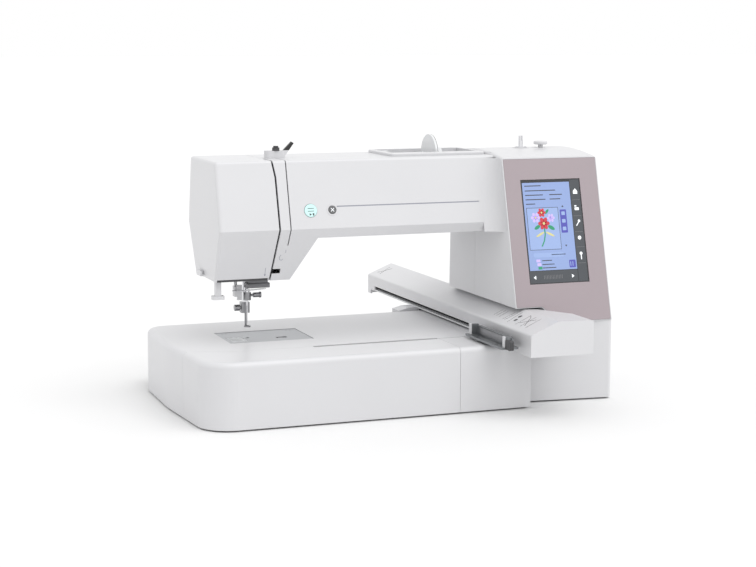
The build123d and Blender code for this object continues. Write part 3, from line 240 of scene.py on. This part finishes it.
SHELL_WHITE = (0.63, 0.63, 0.645)
BRUSH_X = (0.04, 1, 1)
BRUSH_Y = (1, 0.04, 1)
SURFACES = {
    "white_plastic": material("white_shell", SHELL_WHITE, 0.36, bump=0.06, grain=900, vary=0.012, coat=0.15),
    "light_grey_plastic": material("grey_shell", (0.60, 0.60, 0.61), 0.55, bump=0.12, grain=700, vary=0.03),
    "rubber": material("black_rubber", (0.03, 0.03, 0.03), 0.85, bump=0.25, grain=500, vary=0.15),
    "translucent_white": material("milky_plastic", (0.86, 0.87, 0.88), 0.3, vary=0.02, transmission=0.2),
    "dark_plastic": material("dark_plastic", (0.035, 0.035, 0.038), 0.48, bump=0.1, grain=800, vary=0.12,
                             edge_highlight=0.04),
    "grey_plastic": material("grey_plastic", (0.20, 0.20, 0.21), 0.42, bump=0.08, grain=700, vary=0.05),
    "chrome": material("chrome", (0.75, 0.75, 0.77), 0.12, metallic=1.0, vary=0.02, grain=300),
    "steel": material("ground_steel", (0.30, 0.30, 0.31), 0.3, metallic=1.0, bump=0.05, grain=900, vary=0.06),
    "plate_steel": material("plate_steel", (0.38, 0.39, 0.41), 0.34, metallic=0.85, bump=0.06, grain=1500,
                            vary=0.03, stretch=BRUSH_X),
    "mauve_panel": material("mauve_panel", (0.37, 0.315, 0.335), 0.38, metallic=0.25, bump=0.04, grain=2500,
                            vary=0.015, coat=0.2),
    "display_glass": material("display_glass", (0.012, 0.014, 0.018), 0.08, vary=0.1, coat=0.8),
    "circuit_board": material("circuit_board", (0.01, 0.10, 0.035), 0.45, bump=0.2, grain=350, vary=0.25),
    "cast_metal": material("cast_metal", (0.38, 0.38, 0.39), 0.55, metallic=0.9, bump=0.4, grain=420,
                           vary=0.08),
    "painted_black": material("black_enamel", (0.02, 0.02, 0.02), 0.3, bump=0.05, grain=600,
                              vary=0.1, coat=0.3),
    "belt_rubber": material("belt_rubber", (0.02, 0.02, 0.02), 0.75, bump=0.3, grain=900, vary=0.15),
    "clear_plastic": material("clear_window", (0.74, 0.77, 0.79), 0.18, vary=0.02, alpha=0.62, coat=0.5),
    "aqua_button": material("aqua_button", (0.60, 0.88, 0.86), 0.32, bump=0.03, grain=600,
                            vary=0.02, coat=0.4),
    "grey_button": material("grey_button", (0.13, 0.13, 0.135), 0.35, bump=0.03, grain=600,
                            vary=0.03, coat=0.3),
    "aluminium": material("turned_aluminium", (0.66, 0.66, 0.67), 0.28, metallic=1.0, bump=0.05, grain=900,
                          vary=0.04),
    "chassis_metal": material("dark_sheet", (0.17, 0.175, 0.18), 0.3, metallic=0.9, bump=0.05, grain=1200,
                              vary=0.05, stretch=BRUSH_Y, edge_highlight=0.08),
}
INK = material("dark_ink", (0.05, 0.05, 0.055), 0.5, vary=0.05)
THREAD_SHADOW = material("slot_shadow", (0.045, 0.045, 0.05), 0.8, bump=0.15, grain=500, vary=0.1)
GROOVE = material("groove_line", (0.30, 0.31, 0.36), 0.45, vary=0.03)
LENS = material("lamp_lens", (0.92, 0.93, 0.9), 0.3, vary=0.01, emission=0.5)
SCREEN_BLUE = material("screen_blue", (0.25, 0.34, 0.60), 0.2, vary=0.015, emission=0.10, coat=0.6)
SCREEN_PALE = material("screen_pale", (0.28, 0.38, 0.64), 0.2, vary=0.015, emission=0.12, coat=0.6)
SCREEN_KEY = material("screen_key", (0.07, 0.07, 0.38), 0.25, vary=0.04, emission=0.1, coat=0.6)
SCREEN_STRIP = material("screen_strip", (0.055, 0.062, 0.072), 0.2, vary=0.05, coat=0.6)
SCREEN_WHITE = material("screen_white", (0.85, 0.88, 0.9), 0.3, vary=0.01, emission=0.3)
PETAL_RED = material("petal_red", (0.55, 0.045, 0.06), 0.35, vary=0.15, emission=0.06)
PETAL_LILAC = material("petal_lilac", (0.52, 0.42, 0.80), 0.35, vary=0.08, emission=0.15)
LEAF_GREEN = material("leaf_green", (0.03, 0.28, 0.14), 0.35, vary=0.15, emission=0.05)
RIBBON = material("ribbon_yellow", (0.60, 0.56, 0.26), 0.35, vary=0.08, emission=0.1)


# ---- pieces ----
def finish_piece(name, bm, mat, body, bevel=0.0, smooth=True):
    """Turns a bmesh into a named piece that rides on a body."""
    bmesh.ops.recalc_face_normals(bm, faces=bm.faces)
    mesh = bpy.data.meshes.new(name)
    bm.to_mesh(mesh)
    bm.free()
    mesh.materials.append(mat)
    piece = bpy.data.objects.new(name, mesh)
    bpy.context.scene.collection.objects.link(piece)
    if bevel:
        soften(piece, bevel)
    elif smooth:
        mesh.shade_smooth()
        mesh.set_sharp_from_angle(angle=radians(35))
    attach(piece, body)
    return piece


def soften(piece, width, segments=2, angle=35):
    """Small rounded edges wherever two faces meet at an angle."""
    edge = piece.modifiers.new("soft_edge", "BEVEL")
    edge.width = width
    edge.segments = segments
    edge.limit_method = "ANGLE"
    edge.angle_limit = radians(angle)
    edge.harden_normals = True


def add_prism(bm, outline, surface, front, back):
    """A flat plate with that outline, between two depths of a surface."""
    near = [bm.verts.new(surface(x, y, front)) for x, y in outline]
    far = [bm.verts.new(surface(x, y, back)) for x, y in outline]
    bm.faces.new(near)
    bm.faces.new(far[::-1])
    for i in range(len(outline)):
        j = (i + 1) % len(outline)
        bm.faces.new((near[i], far[i], far[j], near[j]))


def plates(name, outlines, surface, front, back, mat, body="machine", bevel=0.0):
    bm = bmesh.new()
    for outline in outlines:
        add_prism(bm, outline, surface, front, back)
    return finish_piece(name, bm, mat, body, bevel, smooth=False)


def turned(name, profile, place, axis, mat, body, count=40):
    """A body of revolution: profile is (radius, height) in mm, place its foot, axis the direction."""
    bm = bmesh.new()
    toward = Vector(axis).normalized()
    side = toward.orthogonal().normalized()
    other = toward.cross(side)
    rings = []
    for r, h in profile:
        ring = []
        for i in range(count):
            a = 2 * pi * i / count
            ring.append(bm.verts.new(place + (side * cos(a) + other * sin(a)) * r * MM + toward * h * MM))
        rings.append(ring)
    for low, high in zip(rings, rings[1:]):
        for i in range(count):
            j = (i + 1) % count
            bm.faces.new((low[i], low[j], high[j], high[i]))
    bm.faces.new(rings[0][::-1])
    bm.faces.new(rings[-1])
    return finish_piece(name, bm, mat, body)


def wire(name, points, r, mat, body, count=12):
    """A round wire through drawing points, as a mesh tube."""
    curve = bpy.data.curves.new(name, "CURVE")
    curve.dimensions = "3D"
    curve.bevel_depth = r * MM
    curve.bevel_resolution = 4
    curve.use_fill_caps = True
    spline = curve.splines.new("NURBS")
    spline.points.add(len(points) - 1)
    for target, p in zip(spline.points, points):
        target.co = (*at(*p), 1)
    spline.order_u = 3
    spline.use_endpoint_u = True
    curve.resolution_u = count
    guide = bpy.data.objects.new(name + ".guide", curve)
    mesh = bpy.data.meshes.new_from_object(guide)
    bpy.data.objects.remove(guide)
    mesh.materials.append(mat)
    mesh.shade_smooth()
    piece = bpy.data.objects.new(name, mesh)
    bpy.context.scene.collection.objects.link(piece)
    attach(piece, body)
    return piece


# ---- the CAD nodes' own finishes ----
MOULDED = ("base_cover", "arm_housing", "spool_tray", "top_thread_guide", "needle_threader", "display_bezel",
           "bed_front_cover", "bed_corner_cover", "face_cover", "front_cover", "rear_cover")
MOULD_EDGE = 0.0005


def dress_nodes():
    slots = {row["node"]: row["material_slot"] for row in frame["record"]["subparts"]}
    for name, node in nodes.items():
        node.data.materials.clear()
        node.data.materials.append(SURFACES[slots[name]])
    for name in MOULDED:
        soften(nodes[name], MOULD_EDGE, segments=2, angle=30)
    black_wing = material("guide_white", SHELL_WHITE, 0.36, bump=0.06, grain=900, vary=0.012)
    two_tone(black_wing, (0.02, 0.02, 0.02), "Z", GUIDE_BLACK_Z * MM)
    nodes["top_thread_guide"].data.materials[0] = black_wing
    lip = material("chassis_lip", SHELL_WHITE, 0.36, bump=0.06, grain=900, vary=0.012)
    two_tone(lip, (0.15, 0.155, 0.16), "X", at(CHASSIS_WALL, 0, 0).x)
    nodes["arm_chassis"].data.materials[0] = lip
    seat = material("bracket_metal", (0.24, 0.25, 0.26), 0.34, metallic=0.85, bump=0.05, grain=1200,
                    vary=0.04, stretch=BRUSH_Y)
    nodes["hoop_bracket"].data.materials[0] = seat


# ---- screen picture ----
LCD = (442.0, 168.5, 508.5, 277.5)          # lit area: left, foot, right, top
GLASS = 1.0                                 # the glass lies this far behind the panel's face


def layer(name, outlines, level_no, mat):
    """Thin shapes stacked on the display's glass."""
    back = GLASS - 0.06 * level_no
    plates(name, outlines, on_panel, back - 0.05, back, mat)


def flower(cx, cz, r, petals=6):
    return [
        ellipse(cx + 0.55 * r * cos(2 * pi * i / petals), cz + 0.55 * r * sin(2 * pi * i / petals), 0.52 * r,
                0.34 * r, 2 * pi * i / petals)
        for i in range(petals)
    ]


def screen_picture():
    """The machine's own screens show a design, a stitch list and keys; this one is generic."""
    x0, z0, x1, z1 = LCD
    layer("screen_lcd", [rectangle(x0, z0, x1, z1)], 1, SCREEN_BLUE)
    layer("screen_side_strip", [rectangle(x1 + 0.8, 153, 522.6, 280)], 1, SCREEN_STRIP)
    layer("screen_foot_strip", [rectangle(441, 153, x1, z0 - 0.8)], 1, SCREEN_STRIP)

    box = (445.0, 194.0, 489.0, 246.0)
    layer("screen_picture_field", [rectangle(*box)], 2, SCREEN_PALE)
    frame_lines = bent_stroke([box[:2], (box[2], box[1]), box[2:], (box[0], box[3]), box[:2]], 0.5)
    layer("screen_picture_frame", frame_lines, 3, INK)

    stem = bent_stroke([(462, 198), (466, 205), (468, 213), (467.5, 222)], 1.6)
    leaves = [ellipse(458, 222, 4.6, 2.1, 0.5), ellipse(477.5, 221, 5, 2.3, -0.5)]
    leaves.append(ellipse(473, 241, 3.8, 1.6, 0.8))
    layer("screen_leaves", stem + leaves, 3, LEAF_GREEN)
    layer("screen_ribbon", [ellipse(461, 213, 6.4, 1.4, 0.45), ellipse(475, 213, 6.4, 1.4, -0.45)], 4, RIBBON)
    layer("screen_side_blooms", flower(456.5, 234, 6.2) + flower(478, 233, 5.2), 3, PETAL_LILAC)
    layer("screen_main_blooms", flower(467.5, 226.5, 7.6) + flower(465.5, 240, 5.4), 4, PETAL_RED)
    hearts = [ellipse(467.5, 226.5, 1.7), ellipse(465.5, 240, 1.2), ellipse(456.5, 234, 1.2)]
    layer("screen_bloom_hearts", hearts, 5, RIBBON)

    row_ends = ((273.5, 468), (267.5, 488), (262, 470), (256.5, 473), (251, 458))
    rows = [stroke((445, z), (x_end, z), 1.1) for z, x_end in row_ends]
    rows += [stroke((479, z), (x_end, z), 1.1) for z, x_end in ((262, 497), (256.5, 494))]
    rows += [stroke((474, 187.5), (494, 187.5), 1.0)]
    rows += [stroke((460, z), (x_end, z), 1.0) for z, x_end in ((180.5, 474), (175.8, 477), (171.5, 479))]
    layer("screen_rows", rows, 2, INK)
    tiles = [rectangle(452, 178.8, 457.5, 182.2), rectangle(453, 174.2, 458.5, 177.6)]
    layer("screen_thread_tiles", tiles, 2, PETAL_LILAC)
    layer("screen_thread_tile_green", [rectangle(454, 169.8, 459.5, 173.2)], 2, LEAF_GREEN)
    layer("screen_bars", [rectangle(449, 184.6, 491, 190, 1.5)], 2, SCREEN_PALE)

    keys = [rectangle(491.5, 214, 500.5, 243, 1.0), rectangle(498, 170.5, 507, 180, 1.0)]
    layer("screen_keys", keys, 2, SCREEN_KEY)
    marks = [rectangle(493.5, 236, 498.5, 240.5, 0.8), rectangle(493.5, 226.5, 498.5, 231, 0.8),
             rectangle(493.5, 217, 498.5, 221.5, 0.8), stroke((500, 172.5), (500, 178), 1.0)]
    marks += [stroke((503, 172.5), (503, 178), 1.0)]
    layer("screen_key_marks", marks, 3, SCREEN_PALE)
    arrow_up = [(494.5, 246), (497.5, 246), (496, 248.5)]
    arrow_down = [(494.5, 199), (497.5, 199), (496, 196.5)]
    layer("screen_arrows", [arrow_up, arrow_down], 2, INK)

    icon_x = 516.0
    house = [(icon_x - 3, 262), (icon_x + 3, 262), (icon_x + 3, 265.5), (icon_x, 268.8), (icon_x - 3, 265.5)]
    icons = [house, rectangle(icon_x - 3, 241.5, icon_x + 3, 245, 0.6)]
    icons.append(rectangle(icon_x - 3, 246, icon_x, 247.6, 0.4))
    icons += bent_stroke([(icon_x - 2.6, 222), (icon_x + 1.2, 227)], 1.2) + [ellipse(icon_x + 1.6, 228, 1.7)]
    icons += [ellipse(icon_x, 207, 2.4), ellipse(icon_x, 187.5, 2.0)]
    icons.append(stroke((icon_x, 180), (icon_x, 187), 1.3))
    icons += [[(446, 160), (449.5, 162.4), (449.5, 157.6)], [(503.5, 160), (500, 162.4), (500, 157.6)]]
    layer("screen_icons", icons, 2, SCREEN_WHITE)
    ticks = [stroke((461 + 2.1 * i, 157.6), (461 + 2.1 * i, 162.4), 0.5) for i in range(13)]
    lines = [stroke((510.5, z), (521.5, z), 0.35) for z in (254.5, 234.5, 214.5, 195.5, 175.5)]
    layer("screen_slider", ticks + lines, 2, SURFACES["grey_plastic"])


# ---- trim of the head and upper arm ----
def thread_slot_shade_sheets():
    """Painted shade: dark sheets inside the two thread slots, along the middle of each slot, where the slots
    lie in shade.
    """
    slots = {
        "thread_slot_shade_sheet": (121.6, 125.0, 119.2, FOOT_Z + 4),
        "return_slot_shade_sheet": (138.7, 139.1, 137.3, 208.0),
    }
    for name, (x_top, x_bend, x_foot, foot) in slots.items():
        bm = bmesh.new()
        upper = [(x_top - 3, TOP - 3), (x_bend - 3, BEND_Z), (x_bend + 3, BEND_Z), (x_top + 3, TOP - 3)]
        lower = [(x_bend - 3, BEND_Z), (x_foot - 3, foot), (x_foot + 3, foot), (x_bend + 3, BEND_Z)]
        add_prism(bm, upper, on_front, 5.0, 6.5)
        add_prism(bm, lower, on_lower_front, 5.0, 6.5)
        finish_piece(name, bm, THREAD_SHADOW, "machine", smooth=False)


def front_trim():
    groove = rectangle(201, 253.2, 391, 254.8)
    plates("arm_groove_line", [groove], on_front, 0.3, 0.8, GROOVE)
    x0, x1 = START_X - 4, START_X + 4
    mark = [stroke((x0, z), (x1, z), 0.7) for z in (252.6, 249.2)]
    mark += [[(164, 246.8), (164, 243.8), (167, 245.3)], rectangle(168, 243.9, 170, 246.7)]
    plates("start_button_mark", mark, on_front, -0.95, -0.86, INK, body="start")
    x0, x1, z0, z1 = CUTTER_X - 2, CUTTER_X + 2, BUTTON_Z - 2, BUTTON_Z + 2
    cross = [stroke((x0, z0), (x1, z1), 0.7), stroke((x1, z0), (x0, z1), 0.7)]
    # Painted light: the printed cross takes the screen's emissive white, so it glows by itself.
    plates("cutter_button_mark", cross, on_front, -0.95, -0.86, SCREEN_WHITE, body="cutter")
    bm = bmesh.new()
    outer, inner = (ellipse(CUTTER_X, BUTTON_Z, r) for r in (7.0, 5.4))
    for i in range(len(outer)):
        j = (i + 1) % len(outer)
        add_prism(bm, [outer[i], outer[j], inner[j], inner[i]], on_front, -0.35, 0.2)
    finish_piece("cutter_button_rim", bm, SURFACES["white_plastic"], "machine")
    arrows = bent_stroke([(130, 196), (128.2, 193.5), (128.6, 190), (131, 189), (133, 190.5)], 0.6)
    arrows += bent_stroke([(135.5, 202), (135.5, 198.5)], 0.6)
    arrows += bent_stroke([(112, 180), (112, 171)], 0.6) + [[(110.6, 171.5), (113.4, 171.5), (112, 169)]]
    plates("threading_marks", arrows, on_lower_front, -0.12, 0.0, GROOVE)


def head_trim():
    """Thread cutter on the head's left side, lamp lens and the wire guide over the needle."""
    cutter = rectangle(150, 165.2, 171, 172, 2.4)
    plates("side_thread_cutter", [cutter], facing_x(47.2), 0, 3.0, SURFACES["white_plastic"],
           bevel=0.0006)
    lens = rectangle(101, 132, 126, 144, 1.5)
    plates("lamp_lens", [lens], level(149.7), 0, 0.5, LENS)
    wire("needle_bar_wire_guide", [(85, 150, 145), (97, 149, 144.6), (110, 149, 145), (129, 150, 146)], 0.8,
         SURFACES["chrome"], "machine")
    wire("wire_guide_hanger", [(99.5, 150, 144.8), (99.5, 148, 150), (99.5, 143, 157), (99.5, 140, 164)], 0.8,
         SURFACES["chrome"], "machine")


def screw(name, place, axis, r=3.2, body="machine"):
    """A pan-head screw with a round recess."""
    toward = Vector(axis).normalized()
    profile = [(r, -1.0), (r, 0.4), (r * 0.86, 1.0), (r * 0.55, 1.25), (r * 0.5, 0.5), (0.05, 0.45)]
    return turned(name, profile, place, toward, SURFACES["steel"], body, count=28)


def screws():
    rear = [("rear_cover_screw.0", (155, 223.3, 236)), ("rear_cover_screw.1", (300, 223.3, 236)),
            ("rear_cover_screw.2", (525, 236.2, 125))]
    for name, place in rear:
        screw(name, at(*place), (0, 1, 0))
    for i, x in enumerate((60, 200, 330, 470)):
        screw(f"bed_screw.{i}", at(x, 288.1, 68), (0, 1, 0))


# ---- trim of the bed ----
def bed_trim():
    """Two dark strips in the bed's slot, and an arc printed on the hook cover."""
    strips = [rectangle(165.5, y, 329.5, y + 2.9) for y in (SLOT_Y - 3.8, SLOT_Y + 0.9)]
    plates("slot_brushes", strips, level(BED_TOP - 2.4), 0, 0.5, SURFACES["rubber"])
    cx, cy, r = HOOK_X - 1.5, HOOK_Y + 2, 6
    turns = [radians(200 + 10 * i) for i in range(14)]
    arc = bent_stroke([(cx + r * cos(a), cy + r * sin(a)) for a in turns], 0.5)
    plates("hook_cover_mark", arc, level(BED_TOP - 0.68), -0.05, 0.02, GROOVE)


def bobbin():
    """A wound bobbin in the hook, seen through the window."""
    foot, height, up = 65.6, 8.6, (0, 0, 1)
    place = at(HOOK_X, HOOK_Y, foot)
    flange = [(1.5, 0), (10, 0), (10, 0.8), (1.5, 0.8)]
    for name, lift in (("bobbin_lower_flange", 0), ("bobbin_upper_flange", height)):
        base = place + Vector((0, 0, lift * MM))
        turned(name, flange, base, up, SURFACES["clear_plastic"], "machine")
    winding = [(3, 0.8)]
    turns = 18
    for i in range(turns):
        h = 0.9 + 7.6 * i / turns
        winding += [(8.3, h), (8.6, h + 0.21)]
    winding.append((3, height))
    # Painted light: the thread takes the screen's emissive red, so it glows faintly by itself.
    turned("bobbin_thread", winding, place, up, PETAL_RED, "machine")


# ---- trim of the embroidery arm ----
def arm_trim():
    """Marks printed on the roof of the arm, at its front and at its back."""
    strokes = []
    for y in (-38, -24, -10):
        strokes += bent_stroke([(401, y), (424, y + 3)], 0.5)
    strokes += bent_stroke([(404, -30), (420, -14), (423, -8)], 0.6)
    strokes += bent_stroke([(420, -30), (406, -12)], 0.6)
    strokes += [ellipse(408, 4, 2.6), ellipse(416, 8, 2.6)] + bent_stroke([(400, 12), (424, 18)], 0.5)
    strokes += bent_stroke([(402, 24), (424, 24)], 0.5) + bent_stroke([(402, 30), (420, 30)], 0.5)
    for y in (44, 52, 60):
        strokes += bent_stroke([(404, y), (418, y + 2)], 0.5)
    plates("arm_front_marks", strokes, on_roof, -0.12, 0.0, INK, "embroidery_arm")
    back = bent_stroke([(401, 462), (422, 474)], 0.6) + bent_stroke([(420, 460), (408, 470), (403, 477)], 0.6)
    plates("arm_rear_marks", back, on_roof, -0.12, 0.0, INK, "embroidery_arm")


def bracket_trim():
    """Light clips over the bracket's posts, a steel plate between them and a dark latch."""
    side = facing_x(371.4)
    for i, y in enumerate((-45.4, 55.6)):
        clip = rectangle(y - 0.6, 86.4, y + 5.8, 102.2, 1.2)
        plates(f"bracket_clip.{i}", [clip], side, 0, 1.6, SURFACES["white_plastic"], "hoop_carriage",
               bevel=0.0004)
    plate = rectangle(-34, 90.5, 46, 98.5, 1.0)
    plates("bracket_plate", [plate], facing_x(378.6), 0, 0.9, SURFACES["steel"], "hoop_carriage",
           bevel=0.0003)
    latch = rectangle(-62, 87, -48, 99, 2)
    plates("bracket_latch", [latch], facing_x(375), 0, 5.5, SURFACES["dark_plastic"], "hoop_carriage",
           bevel=0.0005)


# ---- trim of the top ----
def top_trim():
    """A rim round the upper part of the spool cap and a ring at the foot of the winder."""
    count, cut = 72, 290.0
    outer, inner = (ellipse(SPOOL_Y, SPOOL_Z, r, count=count) for r in (SPOOL_CAP_R, SPOOL_CAP_R - 0.9))
    bm = bmesh.new()
    for i in range(count):
        j = (i + 1) % count
        if outer[i][1] > cut and outer[j][1] > cut:
            add_prism(bm, [outer[i], outer[j], inner[j], inner[i]], facing_x(SPOOL_CAP_FACE), 0, 0.7)
    finish_piece("spool_cap_rim", bm, SURFACES["grey_plastic"], "cap", smooth=False)
    ring = [(11, 0), (11, 0.7), (10.2, 1.0), (8.6, 1.0), (8.6, 0)]
    turned("winder_base_ring", ring, at(WINDER_X, WINDER_Y, TOP + 4.7), (0, 0, 1), SURFACES["white_plastic"],
           "machine")


# ---- stage ----
CAMERA_AT = (-493.737, -1893.201, 465.0)
CAMERA_TURN, CAMERA_PITCH, CAMERA_ROLL = 0.36209, 0.14556, 0.0021
CAMERA_LENS = 81.305


def camera():
    data = bpy.data.cameras.new("camera")
    data.sensor_width = 36.0
    data.lens = CAMERA_LENS
    data.clip_end = 50
    cam = bpy.data.objects.new("camera", data)
    bpy.context.scene.collection.objects.link(cam)
    a, p, r = CAMERA_TURN, CAMERA_PITCH, CAMERA_ROLL
    ahead = Vector((sin(a) * cos(p), cos(a) * cos(p), -sin(p)))
    right0 = Vector((cos(a), -sin(a), 0))
    up0 = right0.cross(ahead)
    right = cos(r) * right0 + sin(r) * up0
    up = -sin(r) * right0 + cos(r) * up0
    turn = Matrix((right, up, -ahead)).transposed()
    cam.matrix_world = Matrix.Translation(at(*CAMERA_AT)) @ turn.to_4x4()
    bpy.context.scene.camera = cam


def sun(name, toward, strength, spread):
    """Broad even light that travels along toward; spread is the size of its softbox in degrees."""
    data = bpy.data.lights.new(name, "SUN")
    data.energy = strength
    data.angle = radians(spread)
    light = bpy.data.objects.new(name, data)
    bpy.context.scene.collection.objects.link(light)
    light.rotation_euler = Vector(toward).to_track_quat("-Z", "Y").to_euler()


def studio():
    world = bpy.data.worlds.new("studio")
    bpy.context.scene.world = world
    world.use_nodes = True
    backdrop = world.node_tree.nodes["Background"]
    backdrop.inputs["Color"].default_value = (1, 1, 1, 1)
    backdrop.inputs["Strength"].default_value = 1.0
    sun("key", (-0.25, 0.55, -1.0), 1.0, 50)
    sun("side", (-0.9, 0.3, -0.5), 0.25, 40)
    bm = bmesh.new()
    bmesh.ops.create_grid(bm, x_segments=1, y_segments=1, size=30)
    mesh = bpy.data.meshes.new("floor")
    bm.to_mesh(mesh)
    bm.free()
    mesh.materials.append(material("floor_paper", (0.80, 0.80, 0.80), 0.9, vary=0.002))
    floor = bpy.data.objects.new("floor", mesh)
    bpy.context.scene.collection.objects.link(floor)
    floor.location.z = -0.0002
    bpy.context.scene.view_settings.view_transform = "Standard"


camera()
studio()
dress_nodes()
screen_picture()
thread_slot_shade_sheets()
front_trim()
head_trim()
screws()
bed_trim()
bobbin()
arm_trim()
bracket_trim()
top_trim()
